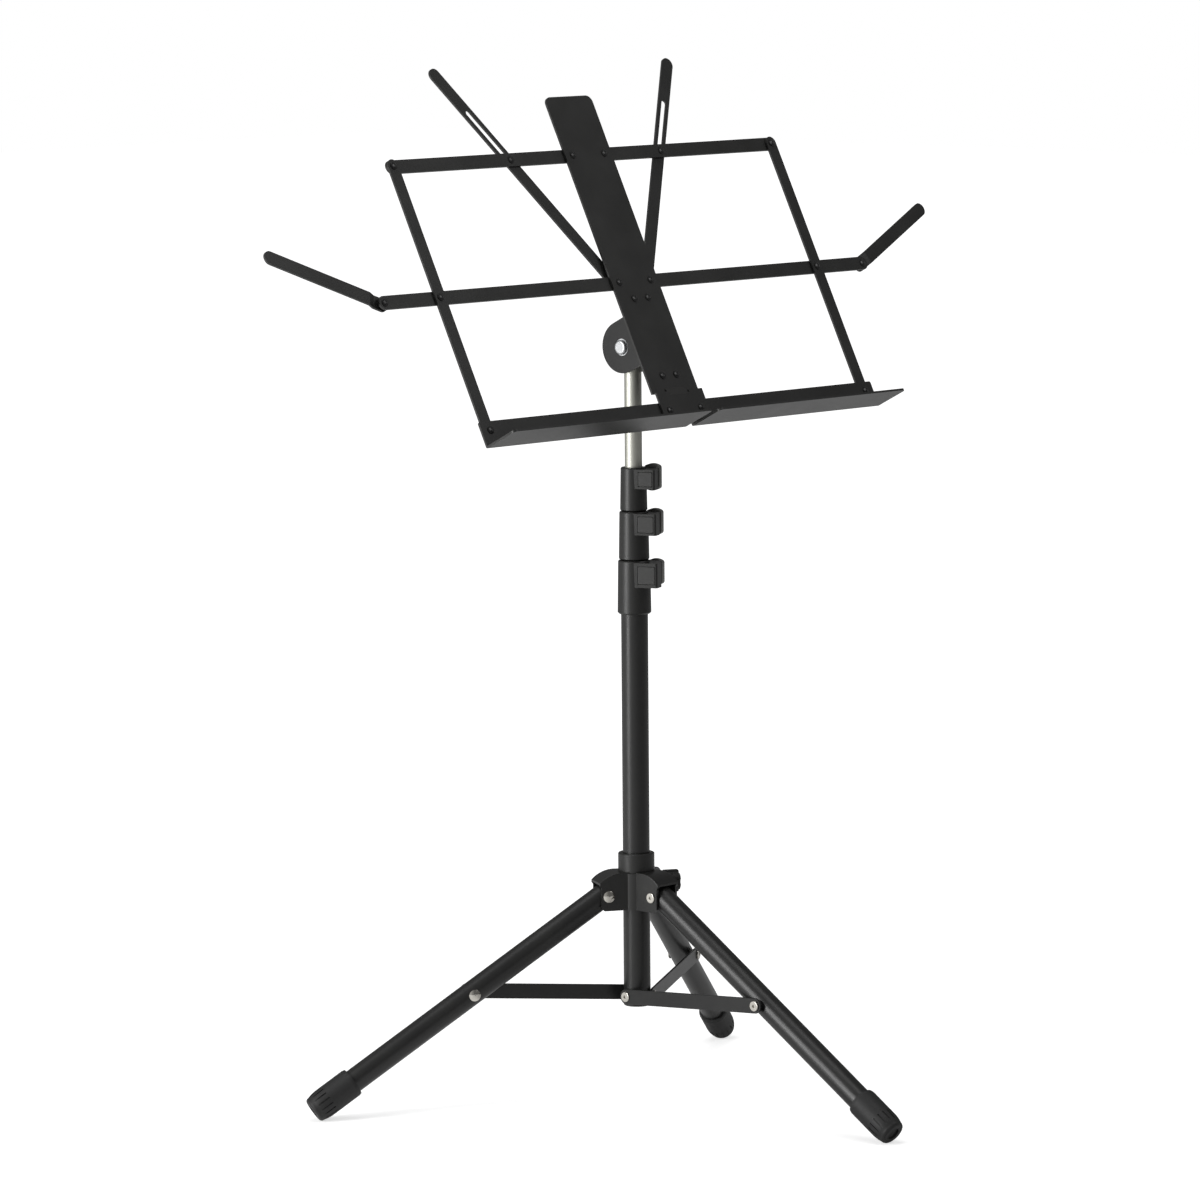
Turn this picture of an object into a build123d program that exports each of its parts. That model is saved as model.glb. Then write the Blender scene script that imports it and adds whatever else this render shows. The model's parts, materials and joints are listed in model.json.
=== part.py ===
from build123d import *
import os
from math import atan2, cos, degrees, hypot, radians, sin, sqrt

# Folding sheet-music stand: tripod base on a sliding hub, four nested mast tubes
# with clamp collars, and a tilting desk of riveted flat bars that folds upwards.
# Millimetres, +Z up, origin on the floor under the mast axis, reader at -Y.

# ---- fits and clearances ----
gap = 0.3              # air between flat pieces that move against each other
run_fit = 0.1          # radial clearance of a pin, screw or tube in its bore
seat = 0.1             # air under a rivet head that must let its strip turn

# ---- mast tubes ----
main_od = 25.0
tube_wall = 1.2
main_foot_z = 92.0     # lower end of the main tube
bush_flange = 3.0      # thickness of the flange of a guide bush
bush_length = 10.0     # how deep a guide bush reaches into its tube
bush_wall = 1.4
stage_two_foot_z = 128.0
stage_three_foot_z = 152.0
top_tube_foot_z = 250.0
top_tube_drop = 10.5   # the top tube ends this far below the tilt axis

# ---- clamp collars, from the lowest up ----
collar_foot_z = 455.5
collar_heights = (49.5, 45.0, 40.5)
clamp_heights = (22.8, 19.8, 18.0)
cover_sides = (16.4, 15.0, 13.4)
collar_wall = 2.4
collar_taper = 0.7     # the collar is this much wider at its foot, per side
collar_chamfer = 1.5
clamp_drop = 1.2       # the clamp block starts this far below the collar top
clamp_reach = 12.0     # how far the block stands out of the collar
clamp_azimuth = -66.0  # direction of the clamp blocks about the mast
clamp_slit = 1.6
near_ear_inset = 0.6   # the nut face stands this far inside the collar's radius
cover_depth = 2.0
cover_air = 0.2
cover_margin = 2.4     # from the end of the block to the nut cover
stud_od = 6.0
stud_walls = (0.5, 1.9, 2.4)  # material between the stud and the clamped tube's bore
far_ear_margin = 6.5   # material around the stud on the knob side
clamp_knob_od = 25.0
clamp_knob_flats = 15.0
clamp_knob_thick = 8.0
knob_round = 1.4

# ---- tripod hub ----
hub_collar_od = 33.8
hub_collar_z = 215.0
hub_top_z = 232.7
hub_foot_z = 181.0
hub_sleeve_od = 38.0   # below the collar, between the brackets
hood_round = 0.9
leg_pivot_r = 31.0
leg_pivot_z = 194.5
cheek_wall = 2.7
hood_wall = 2.5
cheek_reach = 7.0      # past the leg pivot
hood_reach = 8.5       # past the leg pivot
hood_tip_z = 207.2
hood_lip = 2.6
hood_bulge = 3.0       # rise of the hood's arched top over its chord
hub_screw_azimuth = -30.0
hub_screw_z = 204.0
hub_boss_od = 15.0
hub_boss_r = 22.5
hub_knob_start = 26.5
hub_knob_length = 14.0
hub_knob_od = 21.0
hub_knob_lobes = 6
hub_knob_lobe_od = 5.0

# ---- legs ----
leg_azimuths = {"front": -90.0, "rear_right": 27.3, "rear_left": 150.0}
leg_od = 22.2
leg_wall = 1.2
leg_angle = 33.42      # below the horizontal
leg_head = 4.5         # past the pivot, inside the hood
leg_tube_end = 319.0   # from the pivot along the leg
cap_start = 291.0
cap_length = 45.6
cap_od = 27.8
cap_mouth_od = 26.6
cap_tip_od = 24.6
cap_round = 3.0
cap_groove_width = 1.2
cap_groove_depth = 0.9
cap_grooves = 16
cap_groove_start = 27.0
cap_groove_end = 40.0
cap_recess_od = 12.0
cap_recess_depth = 1.6

# ---- struts ----
strut_leg_at = 154.5   # strut pivot on the leg, from the leg pivot
strut_width = 14.0
strut_thick = 2.0
strut_side = 13.9      # inner face of the strut, off the plane of its leg
strut_pivot_z = 98.5
plug_foot_z = 89.0
plug_head_z = 116.0
plug_boss_od = 9.0

# ---- rivets of the tripod ----
leg_rivet_od = 6.0
leg_rivet_head_od = 10.8
leg_rivet_head = 2.2
tube_end_bore = 3.2

# ---- desk: places in its own plane, across and up from its middle row ----
desk_tilt = 26.5       # leaning back from the vertical
tilt_axis_z = 702.5
top_tube_head_z = tilt_axis_z - top_tube_drop
desk_rise = 52.3       # middle row above the tilt axis, along the desk
desk_stand_off = 27.7  # bar faces in front of the tilt axis
plate_column = 21.0
top_row = 128.0
ledge_row = -129.5
side_column = 254.0
arm_column = 322.0
slot_column = 101.0
strip = 13.0           # width of every flat bar
sheet = 2.0            # thickness of every flat bar and sheet piece

plate_width = 62.0
plate_top = 186.5
plate_bottom = ledge_row - 11.0
plate_corner = 7.0
joggle_top = -107.0
joggle_bottom = -115.0
plate_neck = 26.0       # width of the slanted step; beside it the layers stand apart
plate_slit_top = -111.0     # beside the neck the plate ends here
plate_slit_bottom = -111.3  # and its foot starts here, so the folding ledges pass between

ledge_inner = 5.0
ledge_outer = side_column + 11.0
ledge_top = ledge_row + 8.5
ledge_fold = ledge_row - 16.5   # outer face of the shelf
ledge_front = 41.5      # front edge of the shelf, before the faces of the bars
ledge_corner = 4.0
ledge_inner_chamfer = 2.0

finger_length = 261.0
finger_slot_width = 5.6
finger_slot_spare = 1.0
fold_range = 81.0       # the bars fold up by this much, until a rivet stops a side bar

arm_length = 132.0
arm_lift = 24.0        # arms stand this far above the line of the middle bars
arm_joggle_near = 9.0   # the arm steps forwards between these distances from its pivot
arm_joggle_far = 15.0
arm_shoulder_od = 10.0

desk_rivet_od = 4.0
desk_rivet_head_od = 7.4
desk_rivet_head = 1.6

# ---- tilt head ----
ear_radius = 24.0
ear_bore = 15.6
bracket_half = 15.0
bracket_top = -9.0
bracket_bottom = -103.0
bracket_rivet_column = 9.2
bracket_rivet_rows = (-17.0, -94.0)
head_radius = 16.0
head_socket_od = 22.0
head_foot_z = 679.5
head_socket_wall = 2.4
tilt_bolt_od = 8.0
bolt_head_od = 13.6
bolt_head_thick = 3.2
bolt_head_round = 2.2
tilt_knob_od = 24.0
tilt_knob_thick = 9.0
tilt_wing_thick = 6.5
tilt_wing_span = 44.0

# ---- layers of the desk, measured forwards from the faces of the bars ----
bar_back = -sheet
finger_face = bar_back - gap
finger_back = finger_face - sheet
plate_back = gap
plate_face = plate_back + sheet
ledge_back = plate_face + gap          # upright flanges of the ledges, before the side bars
ledge_face = ledge_back + sheet
plate_low_back = ledge_face + gap      # foot of the plate, stepped forwards
plate_low_face = plate_low_back + sheet
arm_shoulder_back = finger_back        # shoulder of the rivet that spaces the arm from its bar
arm_root_face = arm_shoulder_back - gap
arm_root_back = arm_root_face - sheet

desk_y = desk_rise * sin(radians(desk_tilt)) - desk_stand_off * cos(radians(desk_tilt))
desk_z = (tilt_axis_z + desk_rise * cos(radians(desk_tilt))
          + desk_stand_off * sin(radians(desk_tilt)))
desk_normal = (0.0, -cos(radians(desk_tilt)), sin(radians(desk_tilt)))


def desk_plane(out=0.0):
    """Plane of the desk, X to the reader's right, Y up the desk, 'out' towards the reader."""
    at = (0.0, desk_y + out * desk_normal[1], desk_z + out * desk_normal[2])
    return Plane(origin=at, x_dir=(1, 0, 0), z_dir=desk_normal)


def side_plane(across):
    """Plane across the desk: X up the desk, Y back from it, at a place across its width."""
    return Plane(origin=(across, desk_y, desk_z),
                 x_dir=(0, sin(radians(desk_tilt)), cos(radians(desk_tilt))),
                 z_dir=(1, 0, 0))


def radial_plane(azimuth, side=0.0):
    """Upright plane through the mast axis: X outwards, Y up; side is clockwise from above."""
    a = radians(azimuth)
    clockwise = (sin(a), -cos(a), 0.0)
    return Plane(origin=(side * clockwise[0], side * clockwise[1], 0.0),
                 x_dir=(cos(a), sin(a), 0.0), z_dir=clockwise)


def level_plane(azimuth, height):
    """Level plane at a height with X turned to an azimuth."""
    a = radians(azimuth)
    return Plane(origin=(0, 0, height), x_dir=(cos(a), sin(a), 0), z_dir=(0, 0, 1))


def outward_plane(azimuth, reach, height):
    """Plane square to a radius of the mast, at a distance from its axis."""
    a = radians(azimuth)
    return Plane(origin=(reach * cos(a), reach * sin(a), height),
                 x_dir=(-sin(a), cos(a), 0), z_dir=(cos(a), sin(a), 0))


def leg_plane(azimuth, along, side=0.0):
    """Plane square to a leg, at a distance along it from its pivot; X is clockwise."""
    a, fall = radians(azimuth), radians(leg_angle)
    clockwise = (sin(a), -cos(a), 0.0)
    outwards = leg_pivot_r + along * cos(fall)
    at = (outwards * cos(a) + side * clockwise[0], outwards * sin(a) + side * clockwise[1],
          leg_pivot_z - along * sin(fall))
    way = (cos(fall) * cos(a), cos(fall) * sin(a), -sin(fall))
    return Plane(origin=at, x_dir=clockwise, z_dir=way)


def keep(piece, label):
    """Label a finished piece and write it to its file."""
    piece.part.label = label
    export_step(piece.part, f"parts/{label}.step")


def nested_od(outer_od):
    """Outside diameter of the tube that runs inside another."""
    return outer_od - 2 * tube_wall - 2 * gap


tube_ods = [main_od]
for stage in range(3):
    tube_ods.append(nested_od(tube_ods[-1]))

# ---- places of the collars and of the tube ends that they hold ----
stage_names = ("lower", "middle", "upper")
collar_z = []
tube_head_z = []
next_z = collar_foot_z
for height, clamp_height in zip(collar_heights, clamp_heights):
    collar_z.append(next_z)
    tube_head_z.append(next_z + height - clamp_drop - clamp_height)
    next_z += height + gap
tube_head_z.append(top_tube_head_z)
tube_foot_z = (main_foot_z, stage_two_foot_z, stage_three_foot_z, top_tube_foot_z)


# ======================= MAST =======================
def mast_tube(label, od, foot, head, hole_azimuths):
    """One round tube of the mast, with side holes near its foot."""
    with BuildPart() as tube:
        with BuildSketch(Plane.XY.offset(foot)):
            Circle(od / 2)
            Circle(od / 2 - tube_wall, mode=Mode.SUBTRACT)
        extrude(amount=head - foot)
        for azimuth in hole_azimuths:
            with BuildSketch(outward_plane(azimuth, 0, strut_pivot_z)):
                Circle(plug_boss_od / 2)
            extrude(amount=od, mode=Mode.SUBTRACT)
    keep(tube, label)


def guide_bush(label, od, bore_od, foot):
    """Bush in the foot of a tube; its flange guides the tube in the next one out."""
    with BuildPart() as bush:
        with BuildSketch(Plane.XY.offset(foot - bush_flange)):
            Circle(bore_od / 2 - run_fit)
        extrude(amount=bush_flange)
        with BuildSketch(Plane.XY.offset(foot)):
            Circle(od / 2 - tube_wall)
        extrude(amount=bush_length)
        with BuildSketch(Plane.XY.offset(foot - bush_flange)):
            Circle(od / 2 - tube_wall - bush_wall)
        extrude(amount=bush_flange + bush_length, mode=Mode.SUBTRACT)
    keep(bush, label)


tube_names = ("main_tube", "stage_two_tube", "stage_three_tube", "top_tube")
tube_holes = ([azimuth - 90 for azimuth in leg_azimuths.values()], [], [], [])
for name, od, foot, head, holes in zip(tube_names, tube_ods, tube_foot_z, tube_head_z, tube_holes):
    mast_tube(name, od, foot, head, holes)
bush_names = ("stage_two_bush", "stage_three_bush", "top_tube_bush")
for name, od, outer, foot in zip(bush_names, tube_ods[1:], tube_ods, tube_foot_z[1:]):
    guide_bush(name, od, outer - 2 * tube_wall, foot)


def clamp_collar(stage):
    """Collar glued on one tube that clamps the next, with its nut cover and knob."""
    name = stage_names[stage]
    foot, height = collar_z[stage], collar_heights[stage]
    clamp_height, cover = clamp_heights[stage], cover_sides[stage]
    outer_r, inner_r = tube_ods[stage] / 2, tube_ods[stage + 1] / 2
    top_r = outer_r + collar_wall
    foot_r = top_r + collar_taper
    tube_end = tube_head_z[stage]
    block_mid = tube_end + clamp_height / 2
    reach = top_r + clamp_reach
    near_face = -(top_r - near_ear_inset)
    far_face = top_r + gap
    stud_x = inner_r + run_fit + stud_walls[stage] + stud_od / 2
    far_reach = stud_x + far_ear_margin
    upright = radial_plane(clamp_azimuth)
    level = level_plane(clamp_azimuth, tube_end)
    across = Plane(origin=level.origin, x_dir=level.x_dir, z_dir=level.y_dir)

    with BuildPart() as collar:
        with BuildSketch(upright):
            with BuildLine():
                Polyline((0, foot), (foot_r - collar_chamfer, foot),
                         (foot_r, foot + collar_chamfer), (top_r, foot + height - 1),
                         (top_r - 0.6, foot + height), (0, foot + height), close=True)
            make_face()
        revolve(axis=Axis.Z)
        with BuildSketch(level):
            with Locations((reach / 2, near_face / 2)):
                Rectangle(reach, -near_face)
            with Locations((far_reach / 2, far_face / 2)):
                Rectangle(far_reach, far_face)
        extrude(amount=clamp_height)
        corners = collar.edges().filter_by(Axis.Z).filter_by(
            lambda edge: hypot(edge.center().X, edge.center().Y) > top_r + 2)
        fillet(corners, 1.8)
        with BuildSketch(Plane.XY.offset(foot)):
            Circle(outer_r)
        extrude(amount=tube_end - foot, mode=Mode.SUBTRACT)
        with BuildSketch(Plane.XY.offset(tube_end)):
            Circle(inner_r + run_fit)
        extrude(amount=height, mode=Mode.SUBTRACT)
        with BuildSketch(level):
            with Locations((reach / 2, 0)):
                Rectangle(reach + 1, clamp_slit)
        extrude(amount=height, mode=Mode.SUBTRACT)
        with BuildSketch(across.offset(near_face)):
            with Locations((reach - cover_margin - cover / 2, -clamp_height / 2)):
                Rectangle(cover + 2 * cover_air, cover + 2 * cover_air)
        extrude(amount=cover_depth, mode=Mode.SUBTRACT)
        with BuildSketch(across.offset(near_face)):
            with Locations((stud_x, -clamp_height / 2)):
                Circle(stud_od / 2 + run_fit)
        extrude(amount=far_face - near_face, mode=Mode.SUBTRACT)
    keep(collar, f"collar_{name}")

    with BuildPart() as nut_cover:
        with BuildSketch(across.offset(near_face)):
            with Locations((reach - cover_margin - cover / 2, -clamp_height / 2)):
                RectangleRounded(cover, cover, 1.2)
        extrude(amount=cover_depth)
        fillet(nut_cover.faces().sort_by(Axis(level.origin, level.y_dir))[0].edges(), 0.5)
    keep(nut_cover, f"nut_cover_{name}")

    with BuildPart() as knob:
        with BuildSketch(across.offset(far_face + gap)) as knob_outline:
            with Locations((stud_x, -clamp_height / 2)):
                Circle(clamp_knob_od / 2)
                Rectangle(clamp_knob_flats, clamp_knob_od, mode=Mode.INTERSECT)
            fillet(knob_outline.vertices(), 2 * knob_round)
        extrude(amount=clamp_knob_thick)
        fillet(knob.faces().sort_by(Axis(level.origin, level.y_dir))[-1].edges(), knob_round)
        with BuildSketch(across.offset(near_face + cover_depth + gap)):
            with Locations((stud_x, -clamp_height / 2)):
                Circle(stud_od / 2)
        extrude(amount=far_face + gap - near_face - cover_depth - gap)
    keep(knob, f"clamp_knob_{name}")


for stage in range(3):
    clamp_collar(stage)

# ======================= TRIPOD =======================
main_r = main_od / 2
cheek_inner = leg_od / 2 + gap
cheek_outer = cheek_inner + cheek_wall
hub_r = hub_collar_od / 2
hood_top_r = hub_r - 1.0


def hood_arc(drop, start, end):
    """Arched top line of a hood, from the hub to its tip, lowered by drop."""
    middle = ((start[0] + end[0]) / 2, (start[1] + end[1]) / 2 + hood_bulge)
    return ThreePointArc((start[0], start[1] - drop), (middle[0], middle[1] - drop),
                         (end[0], end[1] - drop))


hood_start = (hood_top_r, hub_collar_z + 1.0)
hood_end = (leg_pivot_r + hood_reach, hood_tip_z)
with BuildPart() as hub:
    with BuildSketch(Plane.XY.offset(hub_foot_z)):
        Circle(hub_sleeve_od / 2)
    extrude(amount=hub_collar_z - hub_foot_z)
    with BuildSketch(Plane.XY.offset(hub_collar_z)):
        Circle(hub_r)
    extrude(amount=hub_top_z - hub_collar_z)
    chamfer(hub.faces().sort_by(Axis.Z)[-1].edges(), 0.8)
    for azimuth in leg_azimuths.values():
        with BuildSketch(radial_plane(azimuth)):
            with BuildLine():
                hood_arc(0, hood_start, hood_end)
                Polyline(hood_end, (hood_end[0], hood_end[1] - hood_lip),
                         (leg_pivot_r + cheek_reach, hood_end[1] - hood_lip - 2),
                         (leg_pivot_r + cheek_reach, hub_foot_z + 3),
                         (leg_pivot_r + cheek_reach - 3, hub_foot_z),
                         (main_r, hub_foot_z), (main_r, hood_start[1]), hood_start)
            make_face()
        extrude(amount=cheek_outer, both=True)
    hood_edges = hub.edges().filter_by(GeomType.CIRCLE).filter_by(
        lambda edge: edge.length > 15 and edge.center().Z > hub_screw_z
        and hypot(edge.center().X, edge.center().Y) > hub_r + 4)
    fillet(hood_edges, hood_round)
    for azimuth in leg_azimuths.values():
        with BuildSketch(radial_plane(azimuth)):
            with BuildLine():
                hood_arc(hood_wall, (hood_start[0] + 2.4, hood_start[1] - 0.8),
                         (hood_end[0] + 1, hood_end[1] - 0.4))
                Polyline((hood_end[0] + 1, hood_end[1] - 0.4 - hood_wall),
                         (hood_end[0] + 1, hub_foot_z - 1),
                         (hood_start[0] + 2.4, hub_foot_z - 1),
                         (hood_start[0] + 2.4, hood_start[1] - 0.8 - hood_wall))
            make_face()
        extrude(amount=cheek_inner, both=True, mode=Mode.SUBTRACT)
        with BuildSketch(radial_plane(azimuth)):
            with Locations((leg_pivot_r, leg_pivot_z)):
                Circle(leg_rivet_od / 2)
        extrude(amount=cheek_outer + 1, both=True, mode=Mode.SUBTRACT)
    with BuildSketch(outward_plane(hub_screw_azimuth, main_r, hub_screw_z)):
        Circle(hub_boss_od / 2)
    extrude(amount=hub_boss_r - main_r)
    with BuildSketch(outward_plane(hub_screw_azimuth, main_r, hub_screw_z)):
        Circle(stud_od / 2 + run_fit)
    extrude(amount=hub_boss_r, mode=Mode.SUBTRACT)
    with BuildSketch(Plane.XY.offset(hub_foot_z - 1)):
        Circle(main_r + run_fit)
    extrude(amount=hub_top_z - hub_foot_z + 2, mode=Mode.SUBTRACT)
keep(hub, "hub")

# Thumbscrew that presses on the main tube and holds the hub.
with BuildPart() as hub_knob:
    with BuildSketch(outward_plane(hub_screw_azimuth, hub_knob_start, hub_screw_z)):
        Circle(hub_knob_od / 2)
        with PolarLocations(hub_knob_od / 2 + 0.8, hub_knob_lobes):
            Circle(hub_knob_lobe_od / 2, mode=Mode.SUBTRACT)
    extrude(amount=hub_knob_length)
    outer_face = hub_knob.faces().sort_by(
        Axis((0, 0, 0), outward_plane(hub_screw_azimuth, 0, 0).z_dir))[-1]
    fillet(outer_face.edges(), knob_round)
    with BuildSketch(outward_plane(hub_screw_azimuth, main_r + gap, hub_screw_z)):
        Circle(stud_od / 2)
    extrude(amount=hub_knob_start - main_r - gap)
keep(hub_knob, "hub_knob")


def domed_head(plane, radius, height):
    """A rivet's domed head on a plane, standing along its normal."""
    rim = height * 0.35
    rise = height - rim
    with BuildPart() as head:
        with BuildSketch(Plane(origin=plane.origin, x_dir=plane.x_dir, z_dir=-plane.y_dir)):
            with BuildLine():
                Polyline((0, rim + rise), (0, 0), (radius, 0), (radius, rim))
                RadiusArc((radius, rim), (0, rim + rise),
                          -(radius ** 2 + rise ** 2) / (2 * rise))
            make_face()
        revolve(axis=Axis(plane.origin, plane.z_dir))
    return head.part


def tube_end(at, way):
    """A rivet's tubular end: a rolled rim with its bore."""
    with BuildPart() as end:
        with BuildSketch(Plane(origin=at, z_dir=way)):
            Circle(leg_rivet_head_od / 2 - 0.6)
        extrude(amount=leg_rivet_head * 0.6)
        fillet(end.faces().sort_by(Axis(at, way))[-1].edges(), 0.6)
        with BuildSketch(Plane(origin=at + way * 0.2, z_dir=way)):
            Circle(tube_end_bore / 2)
        extrude(amount=leg_rivet_head, mode=Mode.SUBTRACT)
    return end.part


# One rivet through each pair of cheeks: domed counter-clockwise, tubular clockwise.
with BuildPart() as leg_pivot_rivets:
    for azimuth in leg_azimuths.values():
        a = radians(azimuth)
        hinge = Vector(leg_pivot_r * cos(a), leg_pivot_r * sin(a), leg_pivot_z)
        clockwise = Vector(sin(a), -cos(a), 0)
        with BuildSketch(Plane(origin=hinge - clockwise * cheek_outer, z_dir=clockwise)):
            Circle(leg_rivet_od / 2)
        extrude(amount=2 * cheek_outer)
        add(domed_head(Plane(origin=hinge - clockwise * cheek_outer, z_dir=-clockwise),
                       leg_rivet_head_od / 2, leg_rivet_head))
        add(tube_end(hinge + clockwise * cheek_outer, clockwise))
keep(leg_pivot_rivets, "leg_pivot_rivets")

strut_outer_r = leg_pivot_r + strut_leg_at * cos(radians(leg_angle))
strut_outer_z = leg_pivot_z - strut_leg_at * sin(radians(leg_angle))
strut_length = hypot(strut_outer_r, strut_outer_z - strut_pivot_z)
strut_rise = degrees(atan2(strut_outer_z - strut_pivot_z, strut_outer_r))


def leg_set(place, azimuth):
    """One leg with its foot cap, its strut and the two halves of the pivot between them."""
    a = radians(azimuth)
    outwards = Vector(cos(a), sin(a), 0)
    clockwise = Vector(sin(a), -cos(a), 0)
    knee = outwards * strut_outer_r + Vector(0, 0, strut_outer_z)

    with BuildPart() as leg:
        with BuildSketch(leg_plane(azimuth, -leg_head)):
            Circle(leg_od / 2)
            Circle(leg_od / 2 - leg_wall, mode=Mode.SUBTRACT)
        extrude(amount=leg_tube_end + leg_head)
        for along, bore in ((0, leg_rivet_od / 2 + run_fit), (strut_leg_at, leg_rivet_od / 2)):
            with BuildSketch(Plane(origin=leg_plane(azimuth, along).origin, z_dir=clockwise)):
                Circle(bore)
            extrude(amount=leg_od, both=True, mode=Mode.SUBTRACT)
    keep(leg, f"leg_{place}")

    with BuildPart() as cap:
        cap_plane = leg_plane(azimuth, cap_start)
        profile = Plane(origin=cap_plane.origin, x_dir=cap_plane.x_dir, z_dir=-cap_plane.y_dir)
        with BuildSketch(profile):
            with BuildLine():
                Polyline((0, 0), (cap_mouth_od / 2, 0), (cap_od / 2, 2.5))
                Line((cap_od / 2, 2.5), (cap_od / 2, cap_groove_start))
                Spline((cap_od / 2, cap_groove_start), (cap_tip_od / 2 + 0.6, cap_groove_end),
                       (cap_tip_od / 2, cap_length - cap_round),
                       tangents=((0, 1), (-0.1, 1)))
                RadiusArc((cap_tip_od / 2, cap_length - cap_round),
                          (cap_tip_od / 2 - cap_round, cap_length), -cap_round)
                Polyline((cap_tip_od / 2 - cap_round, cap_length),
                         (cap_recess_od / 2, cap_length),
                         (cap_recess_od / 2, cap_length - cap_recess_depth),
                         (0, cap_length - cap_recess_depth), (0, 0))
            make_face()
        revolve(axis=Axis(cap_plane.origin, cap_plane.z_dir))
        with BuildSketch(cap_plane):
            Circle(leg_od / 2)
        extrude(amount=leg_tube_end - cap_start, mode=Mode.SUBTRACT)
        with BuildSketch(leg_plane(azimuth, cap_start + cap_groove_start)):
            with PolarLocations(cap_od / 2, cap_grooves):
                Rectangle(2 * cap_groove_depth, cap_groove_width)
        extrude(amount=cap_groove_end - cap_groove_start, mode=Mode.SUBTRACT)
    keep(cap, f"foot_cap_{place}")

    with BuildPart() as rivet:
        with BuildSketch(Plane(origin=knee - clockwise * (leg_od / 2), z_dir=clockwise)):
            Circle(leg_rivet_od / 2)
        extrude(amount=leg_od / 2 + strut_side + strut_thick + gap)
        add(domed_head(Plane(origin=knee - clockwise * (leg_od / 2), z_dir=-clockwise),
                       leg_rivet_head_od / 2, leg_rivet_head))
        with BuildSketch(Plane(origin=knee + clockwise * (leg_od / 2), z_dir=clockwise)):
            Circle(plug_boss_od / 2)
        extrude(amount=strut_side - gap - leg_od / 2)
        add(tube_end(knee + clockwise * (strut_side + strut_thick + gap), clockwise))
    keep(rivet, f"strut_rivet_{place}")

    with BuildPart() as strut:
        along = Plane(origin=(outwards * (strut_outer_r / 2) + clockwise * strut_side
                              + Vector(0, 0, (strut_outer_z + strut_pivot_z) / 2)),
                      x_dir=outwards * cos(radians(strut_rise))
                      + Vector(0, 0, sin(radians(strut_rise))), z_dir=clockwise)
        with BuildSketch(along):
            SlotCenterToCenter(strut_length, strut_width)
        extrude(amount=strut_thick)
        chamfer(strut.faces().sort_by(Axis((0, 0, 0), clockwise))[-1].edges(), 0.3)
        with BuildSketch(Plane(origin=knee + clockwise * strut_side, z_dir=clockwise)):
            Circle(leg_rivet_od / 2 + run_fit)
        extrude(amount=strut_thick, mode=Mode.SUBTRACT)
        foot = clockwise * strut_side + Vector(0, 0, strut_pivot_z)
        with BuildSketch(Plane(origin=foot, z_dir=clockwise)):
            Circle(leg_rivet_od / 2)
        extrude(amount=strut_thick, mode=Mode.SUBTRACT)
    keep(strut, f"strut_{place}")

    with BuildPart() as rivet_end:
        with BuildSketch(Plane(origin=foot, z_dir=clockwise)):
            Circle(leg_rivet_od / 2)
        extrude(amount=strut_thick)
        add(tube_end(foot + clockwise * strut_thick, clockwise))
    keep(rivet_end, f"strut_rivet_end_{place}")


for place, azimuth in leg_azimuths.items():
    leg_set(place, azimuth)

# Plug in the foot of the main tube; its bosses stand behind the lower ends of the struts.
with BuildPart() as strut_plug:
    with BuildSketch(Plane.XY.offset(plug_foot_z)):
        Circle(main_r)
    extrude(amount=main_foot_z - plug_foot_z)
    chamfer(strut_plug.faces().sort_by(Axis.Z)[0].edges(), 0.8)
    with BuildSketch(Plane.XY.offset(main_foot_z)):
        Circle(main_r - tube_wall)
    extrude(amount=plug_head_z - main_foot_z)
    for azimuth in leg_azimuths.values():
        with BuildSketch(outward_plane(azimuth - 90, 0, strut_pivot_z)):
            Circle(plug_boss_od / 2)
        extrude(amount=strut_side - gap)
keep(strut_plug, "strut_plug")

# ======================= TILT HEAD =======================
head_half = bracket_half - sheet - gap
with BuildPart() as tilt_head:
    with BuildSketch(Plane.XY.offset(head_foot_z)):
        Circle(head_socket_od / 2)
    extrude(amount=tilt_axis_z - head_foot_z)
    with BuildSketch(Plane.YZ):
        with Locations((0, tilt_axis_z)):
            Circle(head_radius)
    extrude(amount=head_half, both=True)
    with BuildSketch(Plane.XY.offset(head_foot_z)):
        Circle(tube_ods[3] / 2)
    extrude(amount=top_tube_head_z - head_foot_z, mode=Mode.SUBTRACT)
    with BuildSketch(Plane.YZ):
        with Locations((0, tilt_axis_z)):
            Circle(tilt_bolt_od / 2 + run_fit)
    extrude(amount=head_half, both=True, mode=Mode.SUBTRACT)
keep(tilt_head, "tilt_head")

# Channel riveted behind the plate; its two ears straddle the head.
web_back = plate_back - sheet
with BuildPart() as tilt_bracket:
    with BuildSketch(desk_plane(web_back)):
        with Locations((0, (bracket_top + bracket_bottom) / 2)):
            RectangleRounded(2 * bracket_half, bracket_top - bracket_bottom, 3)
    extrude(amount=sheet)
    for side in (-1, 1):
        with BuildSketch(side_plane(side * bracket_half)):
            with Locations((-desk_rise, -desk_stand_off)):
                Circle(ear_radius)
            with Locations((-desk_rise, (plate_back - desk_stand_off) / 2)):
                Rectangle(2 * ear_radius, desk_stand_off + plate_back)
        extrude(amount=-side * sheet)
    with BuildSketch(Plane.YZ):
        with Locations((0, tilt_axis_z)):
            Circle(ear_bore / 2)
    extrude(amount=bracket_half, both=True, mode=Mode.SUBTRACT)
    for row in bracket_rivet_rows:
        with BuildSketch(desk_plane(web_back)):
            with Locations((-bracket_rivet_column, row), (bracket_rivet_column, row)):
                Circle(desk_rivet_od / 2)
        extrude(amount=sheet, mode=Mode.SUBTRACT)
keep(tilt_bracket, "tilt_bracket")


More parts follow.
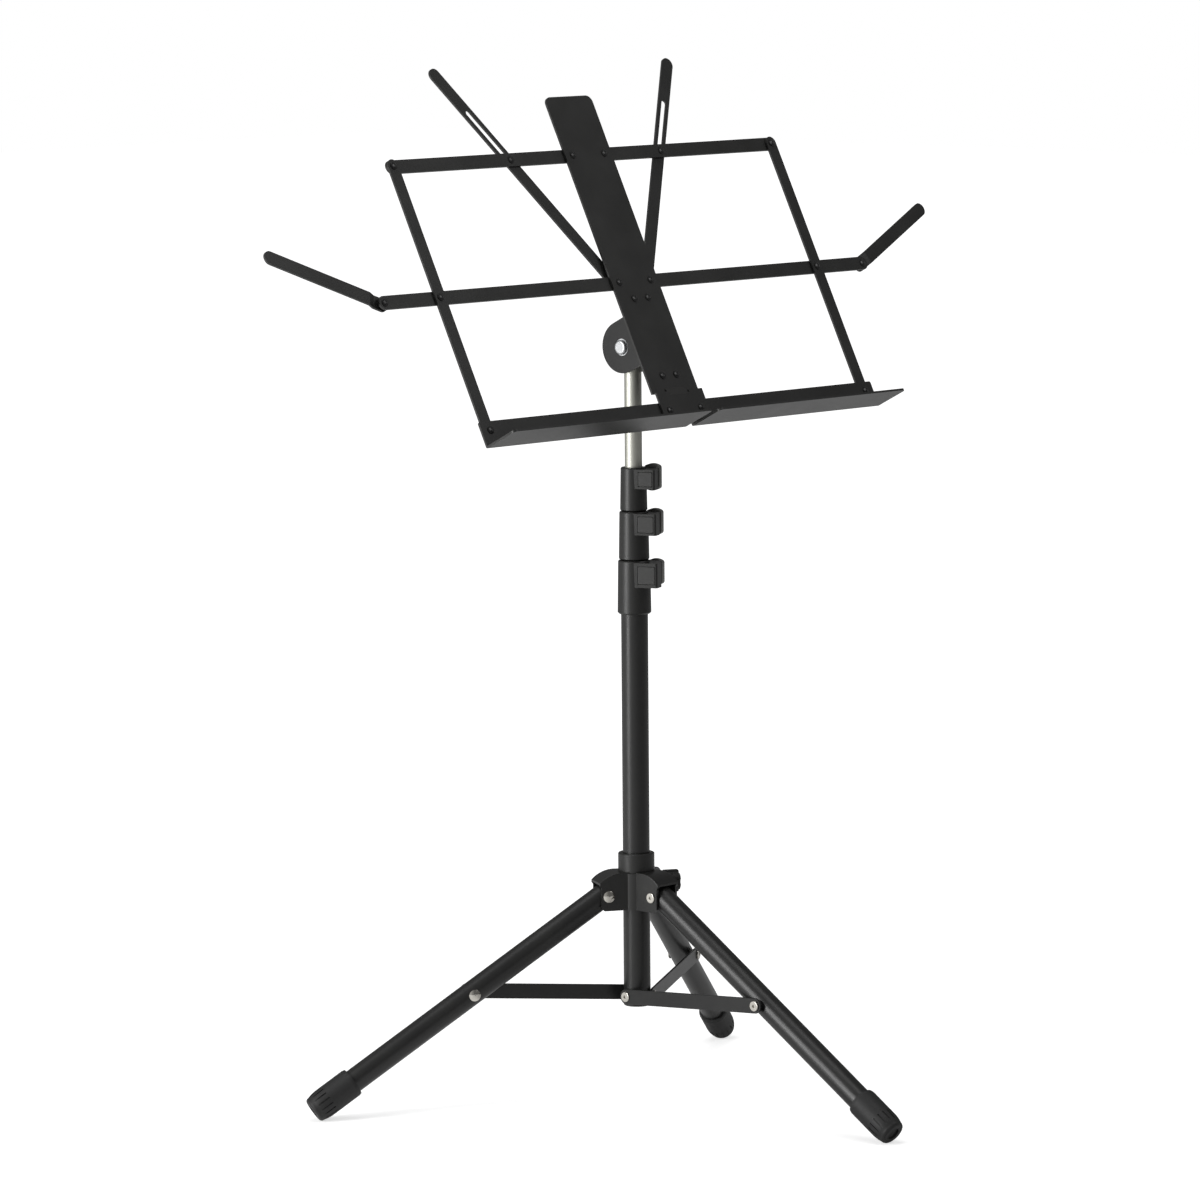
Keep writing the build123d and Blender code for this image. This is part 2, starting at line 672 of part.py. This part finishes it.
# Metal bushes pressed in the bores of the ears; the bolt turns in them.
with BuildPart() as tilt_bushes:
    for side in (-1, 1):
        with BuildSketch(Plane.YZ.offset(side * (bracket_half - sheet))):
            with Locations((0, tilt_axis_z)):
                Circle(ear_bore / 2)
                Circle(tilt_bolt_od / 2 + run_fit, mode=Mode.SUBTRACT)
        extrude(amount=side * (sheet - 0.4))
keep(tilt_bushes, "tilt_bushes")

# Bolt of the tilt axis with its wing knob, which clamps the ears on the head.
bolt_head_x = bracket_half - 0.4 + gap
knob_x = bracket_half + 1.0
with BuildPart() as tilt_bolt:
    with BuildSketch(Plane.YZ.offset(-bolt_head_x)):
        with Locations((0, tilt_axis_z)):
            Circle(tilt_bolt_od / 2)
    extrude(amount=bolt_head_x + knob_x)
    with BuildSketch(Plane.YZ.offset(-bolt_head_x)):
        with Locations((0, tilt_axis_z)):
            Circle(bolt_head_od / 2)
    extrude(amount=-bolt_head_thick)
    fillet(tilt_bolt.faces().sort_by(Axis.X)[0].edges(), bolt_head_round)
keep(tilt_bolt, "tilt_bolt")
with BuildPart() as tilt_knob:
    with BuildSketch(Plane.YZ.offset(knob_x)):
        with Locations((0, tilt_axis_z)):
            Circle(tilt_knob_od / 2)
    extrude(amount=tilt_knob_thick)
    with BuildSketch(Plane.YZ.offset(knob_x + tilt_knob_thick * 0.4)):
        with Locations((0, tilt_axis_z)):
            SlotOverall(tilt_wing_span, tilt_wing_thick, rotation=20)
    extrude(amount=tilt_knob_thick * 0.9)
    fillet(tilt_knob.faces().sort_by(Axis.X)[-1].edges(), knob_round)
keep(tilt_knob, "tilt_knob")

# ======================= DESK =======================
def joggled_strip(at, along, half_width, lengths, backs):
    """Strip of sheet that steps from one layer of the desk to another along its length."""
    start, first, second, end = lengths
    back_one, back_two = backs
    step = second - first
    lead = sheet * sin(atan2(back_two - back_one, abs(step)) / 2) / 2 * (1 if step > 0 else -1)
    across = Vector(*along).cross(Vector(*desk_normal))
    with BuildPart() as piece:
        with BuildSketch(Plane(origin=at, x_dir=along, z_dir=across)):
            Polygon((start, back_one), (first + lead, back_one), (second + lead, back_two),
                    (end, back_two), (end, back_two + sheet), (second - lead, back_two + sheet),
                    (first - lead, back_one + sheet), (start, back_one + sheet), align=None)
        extrude(amount=half_width, both=True)
    return piece.part


def on_desk(u, v, out=0.0):
    """Point of the desk at a place across, up and towards the reader."""
    here = desk_plane(out)
    return here.origin + here.x_dir * u + here.y_dir * v


def desk_way(turn):
    """Direction in the desk's plane, turned up from the reader's right."""
    here = desk_plane()
    return here.x_dir * cos(radians(turn)) + here.y_dir * sin(radians(turn))


def pins(places, diameter):
    """Long round pins square through the desk at these places, to cut holes with."""
    with BuildPart() as cutters:
        with BuildSketch(desk_plane(-20)):
            with Locations(*places):
                Circle(diameter / 2)
        extrude(amount=40)
    return cutters.part


def desk_rivet(place, head_on, tail_on, tail=True):
    """A rivet with its domed head before head_on and a flat tail behind tail_on."""
    with BuildPart() as piece:
        with BuildSketch(desk_plane(tail_on)):
            with Locations(place):
                Circle(desk_rivet_od / 2)
        extrude(amount=head_on - tail_on)
        add(domed_head(Plane(origin=on_desk(*place, head_on), x_dir=(1, 0, 0),
                             z_dir=desk_normal), desk_rivet_head_od / 2, desk_rivet_head))
        if tail:
            with BuildSketch(desk_plane(tail_on)):
                with Locations(place):
                    Circle(desk_rivet_head_od / 2 - 0.7)
            extrude(amount=-1)
    return piece.part


rivet_bore = desk_rivet_od + 2 * run_fit

with BuildPart() as centre_plate:
    add(joggled_strip(on_desk(0, 0), desk_plane().y_dir, plate_neck / 2,
                      (plate_top, joggle_top, joggle_bottom, plate_bottom),
                      (plate_back, plate_low_back)))
    wing = (plate_width - plate_neck) / 2
    for side in (-1, 1):
        wing_u = side * (plate_neck + wing) / 2
        with BuildSketch(desk_plane(plate_back)):
            with Locations((wing_u, (plate_top + plate_slit_top) / 2)):
                Rectangle(wing, plate_top - plate_slit_top)
        extrude(amount=sheet)
        with BuildSketch(desk_plane(plate_low_back)):
            with Locations((wing_u, (plate_bottom + plate_slit_bottom) / 2)):
                Rectangle(wing, plate_slit_bottom - plate_bottom)
        extrude(amount=sheet)
    with BuildSketch(desk_plane(-20)):
        with Locations((0, (plate_top + plate_bottom) / 2)):
            RectangleRounded(plate_width, plate_top - plate_bottom, plate_corner)
    extrude(amount=40, mode=Mode.INTERSECT)
    add(pins([(s * plate_column, row) for s in (-1, 1) for row in (top_row, 0, ledge_row)],
             desk_rivet_od), mode=Mode.SUBTRACT)
    add(pins([(s * bracket_rivet_column, row) for s in (-1, 1) for row in bracket_rivet_rows],
             desk_rivet_od), mode=Mode.SUBTRACT)
keep(centre_plate, "centre_plate")

with BuildPart() as plate_rivets:
    for s in (-1, 1):
        add(desk_rivet((s * plate_column, top_row), plate_face, bar_back, tail=False))
        add(desk_rivet((s * plate_column, 0), plate_face, finger_back - gap))
        add(desk_rivet((s * plate_column, ledge_row), plate_low_face, ledge_back - gap))
        for row in bracket_rivet_rows:
            add(desk_rivet((s * bracket_rivet_column, row), plate_face, web_back))
keep(plate_rivets, "plate_rivets")

finger_turn = degrees(atan2(top_row, slot_column - plate_column))
slot_near = hypot(top_row, slot_column - plate_column)
slot_far = hypot(top_row + (slot_column - plate_column) * sin(radians(fold_range)),
                 (slot_column - plate_column) * cos(radians(fold_range)))


def desk_half(name, side):
    """The flat bars of one half of the desk."""
    column = side * plate_column

    with BuildPart() as top_bar:
        with BuildSketch(desk_plane(bar_back)):
            with Locations((side * (plate_column + side_column) / 2, top_row)):
                SlotCenterToCenter(side_column - plate_column, strip)
        extrude(amount=sheet)
        add(pins([(column, top_row)], rivet_bore), mode=Mode.SUBTRACT)
        add(pins([(side * slot_column, top_row), (side * side_column, top_row)], desk_rivet_od),
            mode=Mode.SUBTRACT)
    keep(top_bar, f"top_bar_{name}")

    with BuildPart() as top_rivets:
        add(desk_rivet((side * slot_column, top_row), 0, bar_back, tail=False))
        add(desk_rivet((side * side_column, top_row), plate_face + seat, bar_back, tail=False))
    keep(top_rivets, f"top_rivets_{name}")

    with BuildPart() as mid_bar:
        with BuildSketch(desk_plane(bar_back)):
            with Locations((side * (plate_column + arm_column) / 2, 0)):
                SlotCenterToCenter(arm_column - plate_column, strip)
        extrude(amount=sheet)
        add(pins([(column, 0)], rivet_bore), mode=Mode.SUBTRACT)
        add(pins([(side * side_column, 0), (side * arm_column, 0)], desk_rivet_od),
            mode=Mode.SUBTRACT)
    keep(mid_bar, f"mid_bar_{name}")

    with BuildPart() as mid_rivets:
        add(desk_rivet((side * side_column, 0), plate_face + seat, bar_back))
        add(desk_rivet((side * arm_column, 0), 0, arm_root_back - gap))
        with BuildSketch(desk_plane(arm_shoulder_back)):
            with Locations((side * arm_column, 0)):
                Circle(arm_shoulder_od / 2)
        extrude(amount=bar_back - arm_shoulder_back)
    keep(mid_rivets, f"mid_rivets_{name}")

    with BuildPart() as side_bar:
        with BuildSketch(desk_plane(plate_back)):
            with Locations((side * side_column, (top_row + ledge_row) / 2)):
                SlotCenterToCenter(top_row - ledge_row, strip, rotation=90)
        extrude(amount=sheet)
        add(pins([(side * side_column, row) for row in (top_row, 0, ledge_row)], rivet_bore),
            mode=Mode.SUBTRACT)
    keep(side_bar, f"side_bar_{name}")

    with BuildPart() as ledge:
        with BuildSketch(side_plane(side * ledge_inner)):
            Polygon((ledge_top, ledge_back), (ledge_top, ledge_face),
                    (ledge_fold + sheet, ledge_face), (ledge_fold + sheet, ledge_front),
                    (ledge_fold, ledge_front), (ledge_fold, ledge_back), align=None)
        extrude(amount=side * (ledge_outer - ledge_inner))
        fold_edges = ledge.edges().filter_by(Axis.X)
        outer_fold = fold_edges.sort_by_distance(on_desk(side * 100, ledge_fold, ledge_back))[0]
        fillet(outer_fold, 1.5)
        middle = side * (ledge_inner + ledge_outer) / 2
        length = ledge_outer - ledge_inner
        with BuildSketch(desk_plane(-20)):
            with Locations((middle, ledge_top - 20)):
                RectangleRounded(length, 40, ledge_inner_chamfer)
            with Locations((middle, ledge_fold)):
                Rectangle(length, 20)
        extrude(amount=80, mode=Mode.INTERSECT)
        with BuildSketch(Plane(origin=on_desk(middle, ledge_fold - 1), x_dir=(1, 0, 0),
                               z_dir=desk_way(90))):
            with Locations((0, -(ledge_front - 40))):
                RectangleRounded(length, 80, ledge_corner)
        extrude(amount=60, mode=Mode.INTERSECT)
        add(pins([(column, ledge_row)], rivet_bore), mode=Mode.SUBTRACT)
        add(pins([(side * side_column, ledge_row)], desk_rivet_od), mode=Mode.SUBTRACT)
    keep(ledge, f"ledge_{name}")

    with BuildPart() as ledge_rivet:
        add(desk_rivet((side * side_column, ledge_row), ledge_face, plate_back - gap))
    keep(ledge_rivet, f"ledge_rivet_{name}")

    turn = finger_turn if side > 0 else 180 - finger_turn
    way = desk_way(turn)
    here = on_desk(column, 0)
    with BuildPart() as finger:
        reach = finger_length - strip / 2
        base = Plane(origin=here + desk_plane().z_dir * finger_back, x_dir=way,
                     z_dir=desk_plane().z_dir)
        with BuildSketch(base):
            with Locations((reach / 2, 0)):
                SlotCenterToCenter(reach, strip)
            with Locations(((slot_near + slot_far) / 2, 0)):
                SlotOverall(slot_far - slot_near + finger_slot_width + 2 * finger_slot_spare,
                            finger_slot_width, mode=Mode.SUBTRACT)
            Circle(rivet_bore / 2, mode=Mode.SUBTRACT)
        extrude(amount=sheet)
    keep(finger, f"finger_{name}")

    arm_turn = arm_lift if side > 0 else 180 - arm_lift
    arm_way = desk_way(arm_turn)
    pivot = on_desk(side * arm_column, 0)
    with BuildPart() as arm:
        reach = arm_length - strip / 2
        add(joggled_strip(pivot, arm_way, strip / 2,
                          (-strip / 2, arm_joggle_near, arm_joggle_far, arm_length),
                          (arm_root_back, finger_back)))
        base = Plane(origin=pivot - desk_plane().z_dir * 20, x_dir=arm_way,
                     z_dir=desk_plane().z_dir)
        with BuildSketch(base):
            with Locations((reach / 2, 0)):
                SlotCenterToCenter(reach, strip)
            Circle(rivet_bore / 2, mode=Mode.SUBTRACT)
        extrude(amount=40, mode=Mode.INTERSECT)
    keep(arm, f"arm_{name}")


desk_half("left", -1)
desk_half("right", 1)
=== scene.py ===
import json
import math
import bpy
from mathutils import Matrix, Vector


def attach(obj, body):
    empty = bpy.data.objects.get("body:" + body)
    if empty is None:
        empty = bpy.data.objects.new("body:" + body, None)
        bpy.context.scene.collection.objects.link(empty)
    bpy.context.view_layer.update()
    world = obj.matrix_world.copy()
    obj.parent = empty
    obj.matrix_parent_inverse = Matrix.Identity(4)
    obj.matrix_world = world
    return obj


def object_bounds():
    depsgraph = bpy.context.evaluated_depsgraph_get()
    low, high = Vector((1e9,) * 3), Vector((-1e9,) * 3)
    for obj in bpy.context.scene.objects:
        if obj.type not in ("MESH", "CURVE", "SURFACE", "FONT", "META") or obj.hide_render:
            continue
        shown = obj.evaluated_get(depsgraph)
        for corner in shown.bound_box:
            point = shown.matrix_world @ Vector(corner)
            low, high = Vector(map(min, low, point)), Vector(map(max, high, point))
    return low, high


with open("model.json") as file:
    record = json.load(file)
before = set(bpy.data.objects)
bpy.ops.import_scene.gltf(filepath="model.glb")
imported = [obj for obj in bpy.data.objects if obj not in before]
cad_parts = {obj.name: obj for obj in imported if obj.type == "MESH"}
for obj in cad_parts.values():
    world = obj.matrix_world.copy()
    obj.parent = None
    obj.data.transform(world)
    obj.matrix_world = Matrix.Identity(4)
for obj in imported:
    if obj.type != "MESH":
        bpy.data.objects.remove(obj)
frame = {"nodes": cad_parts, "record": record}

cad_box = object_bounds()
nodes = frame["nodes"]
scene = bpy.context.scene


# ---------------- shader helpers ----------------
def srgb(code):
    """Linear RGBA from an sRGB hex colour."""
    channels = [int(code[i:i + 2], 16) / 255 for i in (1, 3, 5)]
    return [c / 12.92 if c <= 0.04045 else ((c + 0.055) / 1.055) ** 2.4 for c in channels] + [1.0]


def wire(material, socket, target):
    material.node_tree.links.new(socket, target)


def add_node(material, kind, values=None, links=None, **settings):
    """Add one shader node: its properties, its input values by name, and its links by input."""
    node = material.node_tree.nodes.new(kind)
    for key, value in settings.items():
        setattr(node, key, value)
    for key, value in (values or {}).items():
        node.inputs[key].default_value = value
    for key, socket in (links or {}).items():
        wire(material, socket, node.inputs[key])
    return node


def combine(material, operation, first, second):
    """The result of one sum on two sockets."""
    return add_node(material, "ShaderNodeMath", links={0: first, 1: second},
                    operation=operation).outputs["Value"]


def ranged(material, value, to, source=(0.0, 1.0)):
    """A value from the source range, brought into another range."""
    ends = {"From Min": source[0], "From Max": source[1], "To Min": to[0], "To Max": to[1]}
    return add_node(material, "ShaderNodeMapRange", ends, {"Value": value}).outputs["Result"]


def new_finish(name):
    """A material, its Principled shader and the object's coordinates in metres."""
    material = bpy.data.materials.new(name)
    material.use_nodes = True
    place = add_node(material, "ShaderNodeTexCoord").outputs["Object"]
    return material, material.node_tree.nodes["Principled BSDF"], place


def noise(material, place, scale, detail):
    return add_node(material, "ShaderNodeTexNoise", {"Scale": scale, "Detail": detail},
                    {"Vector": place}).outputs["Fac"]


def tint(material, shader, mask, dark, light, ends=(0.0, 1.0)):
    """Base colour between two sRGB colours, along a mask."""
    ramp = add_node(material, "ShaderNodeValToRGB", links={"Fac": mask})
    for stop, position, colour in zip(ramp.color_ramp.elements, ends, (dark, light)):
        stop.position = position
        stop.color = srgb(colour)
    wire(material, ramp.outputs["Color"], shader.inputs["Base Color"])


def roughen(material, shader, mask, smooth, dull):
    """Roughness between two values, along a mask."""
    wire(material, ranged(material, mask, (smooth, dull)), shader.inputs["Roughness"])


def emboss(material, shader, mask, strength, depth):
    """Bump along a mask; the depth is in metres."""
    bump = add_node(material, "ShaderNodeBump", {"Strength": strength, "Distance": depth},
                    {"Height": mask})
    wire(material, bump.outputs["Normal"], shader.inputs["Normal"])


# ---------------- finishes ----------------
SATIN_SHEEN = 0.36      # specular level of powder coat and nylon
RUBBER_SHEEN = 0.4
SCUFF_HEIGHT = 0.012    # the foot caps are scuffed up to here, above the floor


def powder_coat(name, dark, light):
    """Black powder coat on steel: satin, with a fine orange peel that softens highlights."""
    m, shader, place = new_finish(name)
    peel = noise(m, place, 650.0, 2.0)
    cloud = noise(m, place, 28.0, 3.0)
    tint(m, shader, cloud, dark, light, ends=(0.3, 0.7))
    roughen(m, shader, cloud, 0.3, 0.4)
    emboss(m, shader, peel, 0.35, 0.00006)
    shader.inputs["Specular IOR Level"].default_value = SATIN_SHEEN
    return m


def moulded_nylon(name, dark, light):
    """Glass-filled nylon, moulded: duller than the steel, with a spark-eroded grain."""
    m, shader, place = new_finish(name)
    grain = noise(m, place, 900.0, 3.0)
    tint(m, shader, noise(m, place, 40.0, 2.0), dark, light)
    roughen(m, shader, grain, 0.33, 0.45)
    emboss(m, shader, grain, 0.4, 0.00008)
    shader.inputs["Specular IOR Level"].default_value = SATIN_SHEEN
    return m


def foot_rubber():
    """Black moulded rubber: soft grey sheen, with faint scuffing low down."""
    m, shader, place = new_finish("foot_cap_rubber")
    pores = noise(m, place, 500.0, 4.0)
    height = add_node(m, "ShaderNodeSeparateXYZ", links={"Vector": place}).outputs["Z"]
    low = ranged(m, height, (1.0, 0.0), source=(0.0, SCUFF_HEIGHT))
    tint(m, shader, combine(m, "MULTIPLY", low, pores), "#161616", "#343432")
    roughen(m, shader, pores, 0.5, 0.68)
    emboss(m, shader, pores, 0.3, 0.0001)
    shader.inputs["Specular IOR Level"].default_value = RUBBER_SHEEN
    return m


def anodised_tube():
    """Clear anodised aluminium: pale silver with fine drawing lines along the tube."""
    m, shader, place = new_finish("anodised_aluminium")
    stretch = add_node(m, "ShaderNodeMapping", {"Scale": (1.0, 1.0, 0.02)}, {"Vector": place})
    lines = noise(m, stretch.outputs["Vector"], 1500.0, 2.0)
    tint(m, shader, lines, "#a5a59d", "#b2b2aa")
    roughen(m, shader, lines, 0.43, 0.51)
    emboss(m, shader, lines, 0.15, 0.00003)
    shader.inputs["Metallic"].default_value = 1.0
    return m


def small_metal(name, scale, detail, dark, light, smooth, dull, metallic=1.0):
    """Finish of a small turned or pressed part: one noise mottles its colour and its gloss."""
    m, shader, place = new_finish(name)
    mottle = noise(m, place, scale, detail)
    tint(m, shader, mottle, dark, light)
    roughen(m, shader, mottle, smooth, dull)
    shader.inputs["Metallic"].default_value = metallic
    return m


# By material slot of the record.
finishes = {
    "black_paint": powder_coat("powder_coated_steel", "#171717", "#1e1e1d"),
    "black_plastic": moulded_nylon("moulded_black_nylon", "#151514", "#1e1e1d"),
    "black_rubber": foot_rubber(),
    "silver_tube": anodised_tube(),
    # Rivets of the tripod: bright, a little warm.
    "nickel_rivet": small_metal("nickel_plated_steel", 700.0, 3.0, "#a9a69f", "#c9c6bf", 0.12, 0.2),
    # Rivets of the desk: black enamel, glossier than the bars around them.
    "black_rivet": small_metal("enamelled_rivet", 420.0, 2.0, "#191919", "#242424", 0.13, 0.2,
                               metallic=0.0),
    # Bolt and bushes of the tilt head: cool grey.
    "steel": small_metal("zinc_plated_steel", 380.0, 2.0, "#9fa1a3", "#b9babb", 0.36, 0.48)}

# By the first part of a node's name: the desk's sheet metal, and the clamps' paler mouldings, where
# the knob's paleness is partly painted light.
desk_coat = powder_coat("powder_coated_steel_on_desk", "#222221", "#2b2b2a")
DESK_SHEET = ("centre", "top_bar", "mid_bar", "side_bar", "ledge", "finger", "arm")
special = dict.fromkeys(DESK_SHEET, desk_coat)
special["nut_cover"] = moulded_nylon("moulded_grey_cover", "#232322", "#2c2c2b")
# The knob's pale grey is partly the plastic's own colour and partly painted light on the knob.
special["clamp_knob"] = moulded_nylon("grey_knob_and_painted_light", "#5e5e5b", "#6c6c69")

slots = {part["node"]: part["material_slot"] for part in frame["record"]["subparts"]}
for name, thing in nodes.items():
    thing.data.materials.clear()
    thing.data.materials.append(special.get(name.rpartition("_")[0], finishes[slots[name]]))

# ---------------- small details that ride on the frame ----------------
TILT = math.radians(26.5)
DESK_UP = Vector((0.0, math.sin(TILT), math.cos(TILT)))
DESK_OUT = Vector((0.0, -math.cos(TILT), math.sin(TILT)))
TILT_AXIS = Vector((0.0, 0.0, 0.7025))
DESK_MIDDLE = TILT_AXIS + DESK_UP * 0.0523 + DESK_OUT * 0.0277    # on the row of middle bars


def on_desk(across, up, out):
    """Point of the desk in metres, from millimetres across, up and out towards the reader."""
    return (DESK_MIDDLE + Vector((across / 1000, 0.0, 0.0)) + DESK_UP * (up / 1000)
            + DESK_OUT * (out / 1000))


def solid_piece(name, points, faces, finish, body, smooth=True):
    """A small mesh in the object's frame that moves with one body."""
    mesh = bpy.data.meshes.new(name)
    mesh.from_pydata([tuple(p) for p in points], [], faces)
    mesh.validate()
    for face in mesh.polygons:
        face.use_smooth = smooth
    mesh.materials.append(finish)
    thing = bpy.data.objects.new(name, mesh)
    scene.collection.objects.link(thing)
    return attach(thing, body)


def peened_rim(name, at, normal, radius, thick, finish, body):
    """The raised ring that the setting punch leaves round the dimple of a rivet's head."""
    turn = normal.to_track_quat("Z", "Y")
    around, about = 24, 8
    points, faces = [], []
    for i in range(around):
        a = 2 * math.pi * i / around
        after = (i + 1) % around * about
        for j in range(about):
            b = 2 * math.pi * j / about
            r = radius + thick * math.cos(b)
            ring = Vector((r * math.cos(a), r * math.sin(a), thick * math.sin(b)))
            points.append(at + turn @ ring)
            beside = (j + 1) % about
            faces.append((i * about + j, after + j, after + beside, i * about + beside))
    solid_piece(name, points, faces, finish, body)


# Heads of the desk's rivets: body, and in millimetres the places across and up, and the face
# that each head sits on. Every row stands for a left and a right one.
HEADS = (("desk_frame", 21.0, 128.0, 2.3), ("desk_frame", 21.0, 0.0, 2.3),
         ("desk_frame", 21.0, -129.5, 6.9), ("desk_frame", 9.2, -17.0, 2.3),
         ("desk_frame", 9.2, -94.0, 2.3), ("top", 101.0, 128.0, 0.0), ("top", 254.0, 128.0, 2.4),
         ("mid", 254.0, 0.0, 2.4), ("mid", 322.0, 0.0, 0.0), ("ledge", 254.0, -129.5, 4.6))
RIM_LIFT = 1.44         # mm, from that face to the middle of the rim
RIM_RADIUS = 0.0015
RIM_THICK = 0.00024
for number, (body, across, up, face) in enumerate(HEADS):
    for hand, side in (("left", -1), ("right", 1)):
        rides_on = body if body == "desk_frame" else f"{body}_{hand}"
        peened_rim(f"rivet_rim_{hand}_{number}", on_desk(side * across, up, face + RIM_LIFT),
                   DESK_OUT, RIM_RADIUS, RIM_THICK, finishes["black_rivet"], rides_on)

# Parting line of each moulded collar, straight up its back, away from the clamp.
# Collars: body, foot, height and radius at the foot, in millimetres.
COLLARS = (("mast", 455.5, 49.5, 15.6), ("stage_two", 505.3, 45.0, 14.1),
           ("stage_three", 550.6, 40.5, 12.6))
CLAMP_AZIMUTH = math.radians(-66.0)
BACK = Vector((-math.cos(CLAMP_AZIMUTH), -math.sin(CLAMP_AZIMUTH), 0.0))
COLLAR_TAPER = 0.7
SEAM_FOOT, SEAM_HEAD = 1.6, 1.1           # mm, short of the collar's foot and head
SEAM_HALF, SEAM_SUNK, SEAM_PROUD = 0.0003, 0.0004, 0.00018
for body, foot, height, foot_r in COLLARS:
    aside = Vector((-BACK.y, BACK.x, 0.0)) * SEAM_HALF
    low = BACK * foot_r / 1000 + Vector((0, 0, (foot + SEAM_FOOT) / 1000))
    high = (BACK * (foot_r - COLLAR_TAPER) / 1000
            + Vector((0, 0, (foot + height - SEAM_HEAD) / 1000)))
    corners = [low - BACK * SEAM_SUNK - aside, low - BACK * SEAM_SUNK + aside,
               high - BACK * SEAM_SUNK + aside, high - BACK * SEAM_SUNK - aside,
               low + BACK * SEAM_PROUD, high + BACK * SEAM_PROUD]
    solid_piece(f"parting_line_{body}", corners,
                [(0, 4, 5, 3), (4, 1, 2, 5), (0, 1, 4), (3, 5, 2), (0, 3, 2, 1)],
                finishes["black_plastic"], body, smooth=False)

# ---------------- studio ----------------
middle = (cad_box[0] + cad_box[1]) / 2
LIT_WAY = (-0.92, 0.3, 0.2)     # the side that reflections find white
ROOM_DIM, ROOM_BRIGHT = 0.14, 0.75
FILL = 0.18                     # light that comes from all round
FLOOR_REACH = 14.0


def room_white(material, way):
    """Strength of white: full to the eye, and in reflections bright on the lit side only."""
    side = add_node(material, "ShaderNodeVectorMath", {1: LIT_WAY}, {0: way},
                    operation="DOT_PRODUCT").outputs["Value"]
    lit = ranged(material, side, (ROOM_DIM, ROOM_BRIGHT), source=(0.1, 0.95))
    rays = add_node(material, "ShaderNodeLightPath").outputs
    eye = combine(material, "MAXIMUM", rays["Is Camera Ray"], rays["Is Transmission Ray"])
    gloss = combine(material, "MULTIPLY", rays["Is Glossy Ray"], lit)
    return combine(material, "MAXIMUM", eye, gloss)


def studio_floor():
    """White paper sweep: the lamps light it near the object, and its own glow whitens it."""
    mesh = bpy.data.meshes.new("floor")
    corners = [(x * FLOOR_REACH, y * FLOOR_REACH, 0.0)
               for x, y in ((-1, -1), (1, -1), (1, 1), (-1, 1))]
    mesh.from_pydata(corners, [], [(0, 1, 2, 3)])
    floor = bpy.data.objects.new("floor", mesh)
    scene.collection.objects.link(floor)
    m, shader, place = new_finish("white_paper_sweep")
    shader.inputs["Base Color"].default_value = (0.8, 0.8, 0.8, 1.0)
    shader.inputs["Roughness"].default_value = 0.9
    shader.inputs["Specular IOR Level"].default_value = 0.0
    shader.inputs["Emission Color"].default_value = (1.0, 1.0, 1.0, 1.0)
    way = add_node(m, "ShaderNodeVectorMath", links={0: place}, operation="NORMALIZE")
    far = add_node(m, "ShaderNodeVectorMath", links={0: place}, operation="LENGTH")
    glow = ranged(m, far.outputs["Value"], (0.62, 1.0), source=(0.6, 2.2))
    lift = combine(m, "MULTIPLY", room_white(m, way.outputs["Vector"]), glow)
    wire(m, lift, shader.inputs["Emission Strength"])
    mesh.materials.append(m)


def studio_world():
    """White to the eye and in reflections on the lit side, dim where the room is dark."""
    world = bpy.data.worlds.new("studio_world")
    scene.world = world
    world.use_nodes = True
    background = world.node_tree.nodes["Background"]
    background.inputs["Color"].default_value = (1.0, 1.0, 1.0, 1.0)
    way = add_node(world, "ShaderNodeTexCoord").outputs["Generated"]
    seen = add_node(world, "ShaderNodeMath", {1: FILL}, {0: room_white(world, way)},
                    operation="MAXIMUM").outputs["Value"]
    wire(world, seen, background.inputs["Strength"])


def soft_lamp(name, way, distance, size, watts):
    """A soft box, wide by tall, off in one direction from the object's middle, facing it."""
    lamp = bpy.data.lights.new(name, "AREA")
    lamp.shape = "RECTANGLE"
    lamp.size, lamp.size_y = size
    lamp.energy = watts
    thing = bpy.data.objects.new(name, lamp)
    thing.location = middle + Vector(way).normalized() * distance
    thing.rotation_euler = (middle - thing.location).to_track_quat("-Z", "Y").to_euler()
    scene.collection.objects.link(thing)


studio_floor()
studio_world()
soft_lamp("key_box", (-0.95, 0.3, 0.12), 3.0, (0.8, 2.2), 80)
soft_lamp("front_box", (0.4, -0.75, 0.8), 3.4, (1.6, 1.6), 18)
soft_lamp("top_box", (-0.1, 0.1, 1.0), 3.2, (2.2, 2.2), 42)

# ---------------- camera ----------------
LENS_MM, SENSOR_MM, CLIP_END = 187.72, 36.0, 60
CAMERA_AT = Vector((-4.20567, -3.89043, 1.16457))
forward = Vector((0.724969, 0.678128, -0.120676)).normalized()
right = Vector((0.682412, -0.730927, -0.007744))
right = (right - forward * right.dot(forward)).normalized()
axes = Matrix((right, right.cross(forward), -forward)).transposed().to_4x4()
camera_data = bpy.data.cameras.new("camera")
camera_data.lens = LENS_MM
camera_data.sensor_width = SENSOR_MM
camera_data.clip_end = CLIP_END
camera = bpy.data.objects.new("camera", camera_data)
camera.matrix_world = Matrix.Translation(CAMERA_AT) @ axes
scene.collection.objects.link(camera)
scene.camera = camera
scene.view_settings.view_transform = "Standard"
